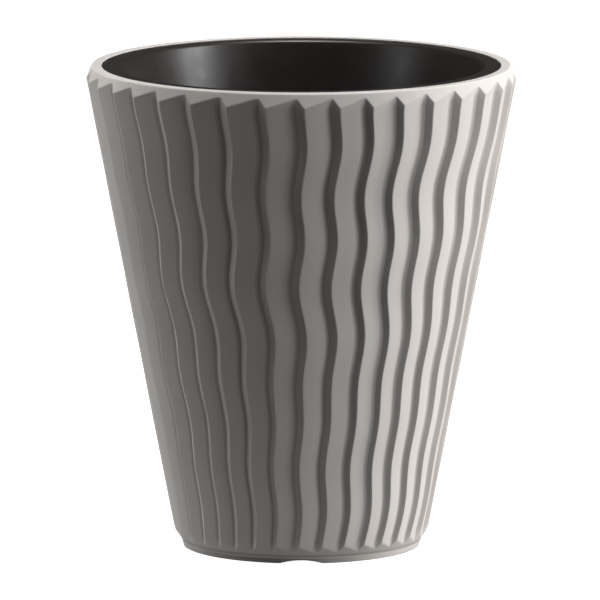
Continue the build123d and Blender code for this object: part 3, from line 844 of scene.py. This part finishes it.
def build_drain_plug():
    """Head with a finger recess and a grip bar, and a shank with a helical thread."""
    low, top = span_of("drain_plug")
    thread_low, thread_high = PLUG_HEAD_TOP + THREAD_LOW_GAP, top - THREAD_TOP_GAP

    def thread(angle, radius, height):
        if not thread_low < height < thread_high:
            return radius
        phase = (height / THREAD_PITCH - angle / TAU) % 1.0
        groove = min(1.0, THREAD_STEEPNESS * abs(phase - 0.5))
        run_out = min(1.0, (height - thread_low) / THREAD_RUN_OUT, (thread_high - height) / THREAD_RUN_OUT)
        return radius - THREAD_DEPTH * groove * run_out

    shank = [(PLUG_SHANK_RADIUS, thread_low + (thread_high - thread_low) * i / THREAD_ROWS, 0)
             for i in range(THREAD_ROWS + 1)]
    recess_top = low + PLUG_RECESS_DEPTH
    outline = [
        (0, recess_top, 0),
        (PLUG_RECESS_RADIUS, recess_top, 0.8),
        (PLUG_RECESS_RADIUS, low, 0.6),
        (PLUG_HEAD_RADIUS, low, 0.9),
        (PLUG_HEAD_RADIUS, PLUG_HEAD_TOP, 0.5),
        (PLUG_SHANK_RADIUS, PLUG_HEAD_TOP, 0.3),
        *shank,
        (PLUG_SHANK_RADIUS, top - PLUG_TIP_CHAMFER, 0.3),
        (PLUG_SHANK_RADIUS - PLUG_TIP_CHAMFER, top, 0.3),
        (0, top, 0),
    ]
    plug = lathe("drain_plug", outline, steps=96, wobble=thread, sharp_angle=40)
    half = PLUG_BAR_WIDTH / 2
    reach = PLUG_RECESS_RADIUS + PLUG_BAR_OVERLAP
    grip = prism("grip", box_outline(-reach, reach, -half, half, 0.6),
                 low + PLUG_BAR_INSET, recess_top + PLUG_BAR_OVERLAP)
    combine(plug, [grip], "UNION")
    finish_piece(plug, "anthracite_plastic", "drain_plug", "drain_plug")


def build_drain_o_ring():
    half = (top_of("drain_o_ring") - low_of("drain_o_ring")) / 2
    middle_radius = radius_of("drain_o_ring") - half
    middle = low_of("drain_o_ring") + half
    section = circle_outline(half, SMALL_CIRCLE_STEPS, (middle_radius, middle))
    finish_piece(lathe("o_ring", section, steps=96), "black_rubber", "drain_o_ring", "drain_seal")


# ---- liner -------------------------------------------
FLANGE_LOW = 436.6
FLANGE_INNER_RADIUS = 165.4
LINER_TAPER = 0.19
LINER_WALL = 2.5
SHELF_RADIUS = 95.5
FLOOR_LOW = 88.0
LINER_STEPS = 192
GUSSETS = 12
GUSSET_HEIGHT, GUSSET_TOE = 12.0, 1.0
GUSSET_OUTER_RADIUS = 175.0
GUSSET_HALF_THICKNESS = 0.9
GUSSET_WALL_OVERLAP, GUSSET_FLANGE_OVERLAP = 1.0, 0.5
AIR_HOLES, AIR_HOLE_RADIUS, AIR_HOLE_CIRCLE = 13, 3.0, 87.0
AIR_HOLE_START, AIR_HOLE_STEP = -30.0, 20.0
BASKET_HOLE_RADIUS = 24.2
GROMMET_HOLE_RADIUS = 17.5
CAGE_HOLE_RADIUS = 17.5
LARGE_HOLE_STEPS = 64
BASKETS = ("wick_basket_back", "wick_basket_left", "wick_basket_right")


def liner_radius(height):
    """Inner radius of the liner's wall."""
    return FLANGE_INNER_RADIUS - LINER_TAPER * (top_of("liner") - height)


def liner_gussets():
    """Thin webs between the wall and the underside of the flange."""
    low = FLANGE_LOW - GUSSET_HEIGHT
    top = FLANGE_LOW + GUSSET_FLANGE_OVERLAP
    sunk = LINER_WALL - GUSSET_WALL_OVERLAP
    outline = [
        (liner_radius(low) + sunk, low, 0.3),
        (GUSSET_OUTER_RADIUS, FLANGE_LOW - GUSSET_TOE, 1.0),
        (GUSSET_OUTER_RADIUS, top, 0.2),
        (liner_radius(FLANGE_LOW) + sunk, top, 0.2),
    ]
    radial = Matrix.Rotation(math.pi / 2, 4, "X")
    webs = ([], [])
    for i in range(GUSSETS):
        turn = Matrix.Rotation(TAU * (i + 0.5) / GUSSETS, 4, "Z") @ radial
        webs = added(webs, bar(outline, -GUSSET_HALF_THICKNESS, GUSSET_HALF_THICKNESS, turn))
    return webs


def build_liner():
    """Conical wall with a rounded flange and, at the bottom, a shelf for the floor."""
    low, top = span_of("liner")
    flange_radius = radius_of("liner")
    outline = [
        (SHELF_RADIUS, low, 0.5),
        (liner_radius(low) + LINER_WALL, low, 1.6),
        (liner_radius(FLANGE_LOW) + LINER_WALL, FLANGE_LOW, 1.5),
        (flange_radius, FLANGE_LOW, 0.4),
        (flange_radius, top, 0.7),
        (FLANGE_INNER_RADIUS, top, 2.4),
        (liner_radius(FLOOR_LOW), FLOOR_LOW, 0.6),
        (SHELF_RADIUS, FLOOR_LOW, 0.5),
    ]
    wall = lathe("liner", outline, steps=LINER_STEPS)
    webs = mesh_object("webs", *liner_gussets(), SHARP_ANGLE)
    joined = joined_mesh([wall, webs])
    finish_piece(joined, "anthracite_plastic", "liner")


def joined_mesh(pieces):
    """Several pieces as the first one."""
    edit = bmesh.new()
    for piece in pieces:
        edit.from_mesh(piece.data)
    edit.to_mesh(pieces[0].data)
    edit.free()
    for piece in pieces[1:]:
        bpy.data.objects.remove(piece)
    return pieces[0]


def build_liner_floor():
    """Perforated plate with holes for the baskets, the tube, the cage and air."""
    low, top = span_of("liner_floor")
    plate = prism("liner_floor", circle_outline(radius_of("liner_floor"), LINER_STEPS), low, top)
    below, above = low - CUT_MARGIN, top + CUT_MARGIN
    large_holes = [(BASKET_HOLE_RADIUS, node) for node in BASKETS]
    large_holes += [(GROMMET_HOLE_RADIUS, "fill_grommet"), (CAGE_HOLE_RADIUS, "float_cage")]
    holes = [cutter_disc(radius, below, above, place_of(node), LARGE_HOLE_STEPS)
             for radius, node in large_holes]
    for i in range(AIR_HOLES):
        turn = math.radians(AIR_HOLE_START + AIR_HOLE_STEP * i)
        place = (AIR_HOLE_CIRCLE * math.cos(turn), AIR_HOLE_CIRCLE * math.sin(turn))
        holes.append(cutter_disc(AIR_HOLE_RADIUS, below, above, place, SMALL_CIRCLE_STEPS))
    combine(plate, holes)
    finish_piece(soften(plate, 0.4), "anthracite_plastic", "liner_floor")


# ---- wick baskets ------------------------------------
BASKET_TOP_RADIUS, BASKET_LOW_RADIUS = 23.5, 17.0
BASKET_WALL = 2.0
BASKET_FLANGE_THICKNESS = 2.0
BASKET_SLOTS, BASKET_SLOT_WIDTH = 8, 4.0
BASKET_SLOT_LOW, BASKET_SLOT_TOP = 28.0, 72.0
SEEP_HOLES, SEEP_HOLE_RADIUS, SEEP_HOLE_CIRCLE = 4, 3.0, 9.0


def build_wick_basket(node):
    """Slotted cup with a flange, closed below but for a few seep holes."""
    place = place_of(node)
    low, top = span_of(node)
    flange_radius = radius_of(node)
    flange_low = top - BASKET_FLANGE_THICKNESS
    outline = [
        (0, low, 0),
        (BASKET_LOW_RADIUS, low, 1.8),
        (BASKET_TOP_RADIUS, flange_low, 0.6),
        (flange_radius, flange_low, 0.5),
        (flange_radius, top, 0.6),
        (BASKET_TOP_RADIUS - BASKET_WALL, top, 1.0),
        (BASKET_LOW_RADIUS - BASKET_WALL, low + BASKET_WALL, 1.2),
        (0, low + BASKET_WALL, 0),
    ]
    cup = lathe("basket", outline, place)
    cutters = slot_cutters(BASKET_SLOTS, BASKET_SLOT_WIDTH, BASKET_SLOT_LOW, BASKET_SLOT_TOP,
                           flange_radius, place)
    for x, y, _ in circle_outline(SEEP_HOLE_CIRCLE, SEEP_HOLES, place):
        cutters.append(cutter_disc(SEEP_HOLE_RADIUS, low - CUT_MARGIN, low + BASKET_WALL + CUT_MARGIN,
                                   (x, y), SMALL_CIRCLE_STEPS))
    combine(cup, cutters)
    finish_piece(soften(cup, 0.3), "basket_plastic", node)


# ---- filling tube ------------------------------------
FILL_OUTER_RADIUS, FILL_INNER_RADIUS = 15.0, 13.0
FILL_STOP_LOW, FILL_STOP_TOP = 92.5, 94.5
FILL_SOCKET_TOP = 222.0
FIT_GAP = 0.1
STRAINER_FLOOR = 2.0
STRAINER_SLOTS, STRAINER_SLOT_WIDTH = 6, 4.0
STRAINER_SLOT_START, STRAINER_SLOT_END = 3, 2
SLOT_REACH = 2
GROMMET_LIP = 1.5
COLLAR_RADIUS, COLLAR_LIP = 19.0, 4.0
HINGE_OFFSET, HINGE_HEIGHT = 23.0, 409.5
EAR_RADIUS, EAR_INNER, EAR_OUTER = 3.2, 5.0, 8.0
EAR_OVERLAP, EAR_RISE, EAR_INSET = 3, 6, 0.4
KNUCKLE_RADIUS, KNUCKLE_HALF_WIDTH = 3.0, 4.7
PIN_RADIUS, PIN_HOLE_RADIUS = 1.5, 1.58
ACROSS = Matrix.Rotation(math.pi / 2, 4, "Y")


def build_fill_tube():
    """Lower length of the tube, with the stop ring that rests on the grommet."""
    node = "fill_tube"
    stop_radius = radius_of(node)
    outline = [
        (FILL_OUTER_RADIUS, low_of(node), 0.4),
        (FILL_OUTER_RADIUS, FILL_STOP_LOW, 0.4),
        (stop_radius, FILL_STOP_LOW, 0.4),
        (stop_radius, FILL_STOP_TOP, 0.5),
        (FILL_OUTER_RADIUS, FILL_STOP_TOP, 0.5),
        (FILL_OUTER_RADIUS, top_of(node), 0.4),
        (FILL_INNER_RADIUS, top_of(node), 0.4),
        (FILL_INNER_RADIUS, low_of(node), 0.4),
    ]
    turned_piece(node, outline, "basket_plastic")


def build_fill_tube_extension():
    """Upper length of the tube, with a socket over the lower one."""
    node = "fill_tube_extension"
    socket_radius = radius_of(node)
    bore = FILL_OUTER_RADIUS + FIT_GAP
    joint = top_of("fill_tube")
    outline = [
        (FILL_INNER_RADIUS, joint, 0.2),
        (bore, joint, 0.2),
        (bore, low_of(node), 0.3),
        (socket_radius, low_of(node), 0.5),
        (socket_radius, FILL_SOCKET_TOP, 0.8),
        (FILL_OUTER_RADIUS, FILL_SOCKET_TOP + socket_radius - FILL_OUTER_RADIUS, 1.0),
        (FILL_OUTER_RADIUS, top_of(node), 0.4),
        (FILL_INNER_RADIUS, top_of(node), 0.4),
    ]
    turned_piece(node, outline, "basket_plastic")


def build_fill_tube_foot():
    """Strainer cup pushed over the tube's lower end."""
    node = "fill_tube_foot"
    low, top = span_of(node)
    place = place_of(node)
    outer = radius_of(node)
    shoulder = low_of("fill_tube")
    bore = FILL_OUTER_RADIUS + FIT_GAP
    outline = [
        (0, low, 0),
        (outer, low, 1.2),
        (outer, top, 0.6),
        (bore, top, 0.4),
        (bore, shoulder, 0.2),
        (FILL_INNER_RADIUS, shoulder, 0.3),
        (FILL_INNER_RADIUS, low + STRAINER_FLOOR, 0.8),
        (0, low + STRAINER_FLOOR, 0),
    ]
    cup = lathe(node, outline, place)
    combine(cup, slot_cutters(STRAINER_SLOTS, STRAINER_SLOT_WIDTH, low + STRAINER_SLOT_START,
                              shoulder - STRAINER_SLOT_END, outer + SLOT_REACH, place))
    finish_piece(soften(cup, 0.3), "basket_plastic", node)


def build_fill_grommet():
    node = "fill_grommet"
    low, top = span_of(node)
    lip = radius_of(node)
    bore = FILL_OUTER_RADIUS + FIT_GAP
    groove = GROMMET_HOLE_RADIUS - FIT_GAP
    outline = [
        (bore, low, 0.5),
        (lip, low, 0.7),
        (lip, low + GROMMET_LIP, 0.3),
        (groove, low + GROMMET_LIP, 0.2),
        (groove, top - GROMMET_LIP, 0.2),
        (lip, top - GROMMET_LIP, 0.3),
        (lip, top, 0.7),
        (bore, top, 0.5),
    ]
    turned_piece(node, outline, "black_rubber")


def across_disc(radius, half_width, place, steps=40):
    """A disc on the hinge's line, facing along X."""
    turn = Matrix.Translation((place[0], place[1] + HINGE_OFFSET, HINGE_HEIGHT)) @ ACROSS
    return prism("disc", circle_outline(radius, steps), -half_width, half_width, turn)


def hinge_ear(side, low, ring_top, place):
    """One ear of the collar: a rounded upright cheek that reaches back from the ring."""
    root = COLLAR_RADIUS - EAR_OVERLAP
    outline = [
        (root, low, 0.5),
        (HINGE_OFFSET + EAR_RADIUS, low, 2.0),
        (HINGE_OFFSET + EAR_RADIUS, HINGE_HEIGHT + EAR_RADIUS, EAR_RADIUS),
        (HINGE_OFFSET - EAR_RADIUS, HINGE_HEIGHT + EAR_RADIUS, EAR_RADIUS),
        (HINGE_OFFSET - EAR_RADIUS, ring_top - EAR_INSET, 0.3),
        (root, ring_top - EAR_INSET, 0.3),
    ]
    turn = Matrix.Translation((place[0], place[1], 0)) @ UPRIGHT
    ends = sorted((side * EAR_INNER, side * EAR_OUTER))
    return prism("ear", outline, ends[0], ends[1], turn)


def build_fill_collar():
    """Ring on the tube's mouth with two ears for the lid's hinge."""
    node = "fill_collar"
    place = place_of("fill_tube")
    mouth = top_of("fill_tube_extension")
    low, top = low_of(node), mouth + COLLAR_LIP
    bore = FILL_OUTER_RADIUS + FIT_GAP
    outline = [
        (bore, low, 0.4),
        (COLLAR_RADIUS, low, 0.8),
        (COLLAR_RADIUS, top, 1.2),
        (FILL_INNER_RADIUS, top, 0.8),
        (FILL_INNER_RADIUS, mouth, 0.2),
        (bore, mouth, 0.2),
    ]
    collar = lathe(node, outline, place)
    combine(collar, [hinge_ear(side, low + EAR_RISE, top, place) for side in (-1, 1)], "UNION")
    combine(collar, [across_disc(PIN_HOLE_RADIUS, EAR_OUTER + CUT_MARGIN, place, SMALL_CIRCLE_STEPS)])
    finish_piece(collar, "anthracite_plastic", node)


LID_RADIUS, LID_TOP, LID_THICKNESS = 18.5, 411.0, 2.6
LID_PLUG_RADIUS, LID_PLUG_WALL = 12.4, 1.4
LID_EDGE_WIDTH, LID_DISH_WIDTH, LID_DISH_DEPTH = 3.0, 4.0, 0.7
LID_TAB_HALF_WIDTH, LID_TAB_REACH = 6.0, 23.5
LID_TAB_OVERLAP, LID_TAB_RISE = 3.2, 0.4
LID_WEB_OVERLAP, LID_WEB_INSET = 2.6, 0.1
GROOVE_PLACES = (1.6, 3.0, 4.4)
GROOVE_HALF_LENGTH, GROOVE_HALF_WIDTH, GROOVE_DEPTH = 4.5, 0.35, 0.35


def build_fill_lid():
    """Dished flap with a thumb tab, a plug ring below and a hinge knuckle behind."""
    node = "fill_lid"
    place = place_of("fill_tube")
    plug_low, top = low_of(node), LID_TOP
    low = top - LID_THICKNESS
    outline = [
        (0, low, 0),
        (LID_PLUG_RADIUS - LID_PLUG_WALL, low, 0.3),
        (LID_PLUG_RADIUS - LID_PLUG_WALL, plug_low, 0.3),
        (LID_PLUG_RADIUS, plug_low, 0.6),
        (LID_PLUG_RADIUS, low, 0.3),
        (LID_RADIUS, low, 0.5),
        (LID_RADIUS, top, 0.9),
        (LID_RADIUS - LID_EDGE_WIDTH, top, 0.5),
        (LID_RADIUS - LID_DISH_WIDTH, top - LID_DISH_DEPTH, 0.5),
        (0, top - LID_DISH_DEPTH, 0),
    ]
    flap = lathe(node, outline, place)
    on_tube = Matrix.Translation((place[0], place[1], 0))
    half = LID_TAB_HALF_WIDTH
    tab_outline = box_outline(-half, half, -LID_TAB_REACH, -LID_RADIUS + LID_TAB_OVERLAP, 2.5)
    tab = prism("tab", tab_outline, low + LID_TAB_RISE, top, on_tube)
    half = KNUCKLE_HALF_WIDTH
    web_outline = box_outline(-half, half, LID_RADIUS - LID_WEB_OVERLAP, HINGE_OFFSET, 0.2)
    web = prism("web", web_outline, low, top - LID_WEB_INSET, on_tube)
    knuckle = across_disc(KNUCKLE_RADIUS, half, place)
    combine(flap, [tab, web, knuckle], "UNION")
    cutters = [across_disc(PIN_HOLE_RADIUS, half + CUT_MARGIN, place, SMALL_CIRCLE_STEPS)]
    half, groove_half = GROOVE_HALF_LENGTH, GROOVE_HALF_WIDTH
    for offset in GROOVE_PLACES:
        middle = -LID_TAB_REACH + offset
        groove = box_outline(-half, half, middle - groove_half, middle + groove_half, 0.3)
        cutters.append(prism("groove", groove, top - GROOVE_DEPTH, top + CUT_MARGIN, on_tube))
    combine(flap, cutters)
    finish_piece(flap, "anthracite_plastic", node, "fill_lid")


def build_fill_lid_pin():
    node = "fill_lid_pin"
    half = radius_of(node)
    outline = [(0, -half, 0), (PIN_RADIUS, -half, 0.5), (PIN_RADIUS, half, 0.5), (0, half, 0)]
    turn = Matrix.Translation((0, 0, HINGE_HEIGHT)) @ ACROSS
    finish_piece(lathe(node, outline, place_of(node), 48, turn), "pin_steel", node)


# ---- float gauge -------------------------------------
CAGE_RADIUS, CAGE_WALL, CAGE_FLOOR = 17.0, 1.6, 2.0
CAGE_DRAIN_RADIUS = 5.0
CAGE_SLOTS, CAGE_SLOT_WIDTH, CAGE_SLOT_LOW, CAGE_SLOT_TOP = 6, 5.0, 24.0, 80.0
CAGE_SLOT_REACH = 3
CAP_SPIGOT_RADIUS, CAP_BORE_RADIUS = 15.2, 7.5
CAP_PLATE_TOP, CAP_SOCKET_RADIUS = 96.0, 13.5
GAUGE_TUBE_RADIUS, GAUGE_TUBE_BORE, GAUGE_TUBE_SHOULDER = 11.0, 7.0, 356.0
SPIGOT_RADIUS = 8.8
WINDOW_BORE, WINDOW_ROOF = 9.0, 2.0
STEM_RADIUS, STEM_FIT_GAP = 2.0, 0.05
FLOAT_FUNNEL_WIDTH, FLOAT_FUNNEL_DEPTH = 2.5, 1.5
MARKER_BAND, MARKER_WAIST_DEPTH, MARKER_WAIST_SLOPE = 5.0, 0.9, 1.0


def build_float_cage():
    """Slotted cage with a flange that rests on the floor and a drain hole below."""
    node = "float_cage"
    place = place_of(node)
    low, top = span_of(node)
    flange_low = top_of("liner_floor")
    outline = [
        (CAGE_DRAIN_RADIUS, low, 0.4),
        (CAGE_RADIUS, low, 1.2),
        (CAGE_RADIUS, flange_low, 0.5),
        (radius_of(node), flange_low, 0.4),
        (radius_of(node), top, 0.6),
        (CAGE_RADIUS - CAGE_WALL, top, 0.5),
        (CAGE_RADIUS - CAGE_WALL, low + CAGE_FLOOR, 0.8),
        (CAGE_DRAIN_RADIUS, low + CAGE_FLOOR, 0.4),
    ]
    cage = lathe(node, outline, place)
    combine(cage, slot_cutters(CAGE_SLOTS, CAGE_SLOT_WIDTH, CAGE_SLOT_LOW, CAGE_SLOT_TOP,
                               CAGE_RADIUS + CAGE_SLOT_REACH, place))
    finish_piece(soften(cage, 0.3), "basket_plastic", node)


def build_float_cage_cap():
    """Cap with a spigot in the cage and a socket for the gauge tube."""
    node = "float_cage_cap"
    low, top = span_of(node)
    plate_low = top_of("float_cage")
    socket_bore = GAUGE_TUBE_RADIUS + FIT_GAP
    outline = [
        (CAP_BORE_RADIUS, low, 0.4),
        (CAP_SPIGOT_RADIUS, low, 0.5),
        (CAP_SPIGOT_RADIUS, plate_low, 0.3),
        (radius_of(node), plate_low, 0.5),
        (radius_of(node), CAP_PLATE_TOP, 0.9),
        (CAP_SOCKET_RADIUS, CAP_PLATE_TOP, 1.2),
        (CAP_SOCKET_RADIUS, top, 0.8),
        (socket_bore, top, 0.4),
        (socket_bore, CAP_PLATE_TOP, 0.2),
        (CAP_BORE_RADIUS, CAP_PLATE_TOP, 0.3),
    ]
    turned_piece(node, outline, "anthracite_plastic")


def build_level_float():
    node = "level_float"
    low, top = span_of(node)
    radius = radius_of(node)
    bore = STEM_RADIUS + STEM_FIT_GAP
    outline = [
        (0, low, 0),
        (radius, low, 2.0),
        (radius, top, 2.0),
        (bore + FLOAT_FUNNEL_WIDTH, top, 0.4),
        (bore, top - FLOAT_FUNNEL_DEPTH, 0.3),
        (bore, low_of("level_stem"), 0.2),
        (0, low_of("level_stem"), 0),
    ]
    turned_piece(node, outline, "float_foam", body="level_float")


def build_level_stem():
    node = "level_stem"
    low, top = span_of(node)
    outline = [(0, low, 0), (STEM_RADIUS, low, 0.4), (STEM_RADIUS, top, 0.4), (0, top, 0)]
    turned_piece(node, outline, "float_foam", 40, "level_float")


def build_level_marker():
    """Bobbin with a waist, pushed over the stem's end."""
    node = "level_marker"
    low, top = span_of(node)
    radius = radius_of(node)
    waist = radius - MARKER_WAIST_DEPTH
    bore = STEM_RADIUS + STEM_FIT_GAP
    stem_top = top_of("level_stem")
    outline = [
        (0, stem_top, 0),
        (bore, stem_top, 0.2),
        (bore, low, 0.3),
        (radius, low, 0.8),
        (radius, low + MARKER_BAND, 0.5),
        (waist, low + MARKER_BAND + MARKER_WAIST_SLOPE, 0.5),
        (waist, top - MARKER_BAND - MARKER_WAIST_SLOPE, 0.5),
        (radius, top - MARKER_BAND, 0.5),
        (radius, top, 1.2),
        (0, top, 0),
    ]
    turned_piece(node, outline, "marker_red", 64, "level_float")


def build_indicator_tube():
    """Opaque tube round the stem, with a spigot for the window."""
    node = "indicator_tube"
    low, top = span_of(node)
    outline = [
        (GAUGE_TUBE_BORE, low, 0.4),
        (GAUGE_TUBE_RADIUS, low, 0.4),
        (GAUGE_TUBE_RADIUS, GAUGE_TUBE_SHOULDER, 0.3),
        (SPIGOT_RADIUS, GAUGE_TUBE_SHOULDER, 0.3),
        (SPIGOT_RADIUS, top, 0.5),
        (GAUGE_TUBE_BORE, top, 0.4),
    ]
    turned_piece(node, outline, "basket_plastic", 80)


def build_indicator_window():
    """Clear cap over the spigot, in which the marker is read."""
    node = "indicator_window"
    low, top = span_of(node)
    radius = radius_of(node)
    outline = [
        (0, top - WINDOW_ROOF, 0),
        (WINDOW_BORE, top - WINDOW_ROOF, 1.2),
        (WINDOW_BORE, low, 0.3),
        (radius, low, 0.4),
        (radius, top, 2.6),
        (0, top, 0),
    ]
    turned_piece(node, outline, "clear_plastic", 80)


# ---- the scene ---------------------------------------
bpy.context.scene.view_settings.view_transform = "Standard"
add_camera()
light_scene()
add_floor()
MATERIALS = make_materials()

build_outer_pot()
build_drain_plug()
build_drain_o_ring()
build_liner()
build_liner_floor()
for basket in BASKETS:
    build_wick_basket(basket)
build_fill_tube()
build_fill_tube_extension()
build_fill_tube_foot()
build_fill_grommet()
build_fill_collar()
build_fill_lid()
build_fill_lid_pin()
build_float_cage()
build_float_cage_cap()
build_level_float()
build_level_stem()
build_level_marker()
build_indicator_tube()
build_indicator_window()
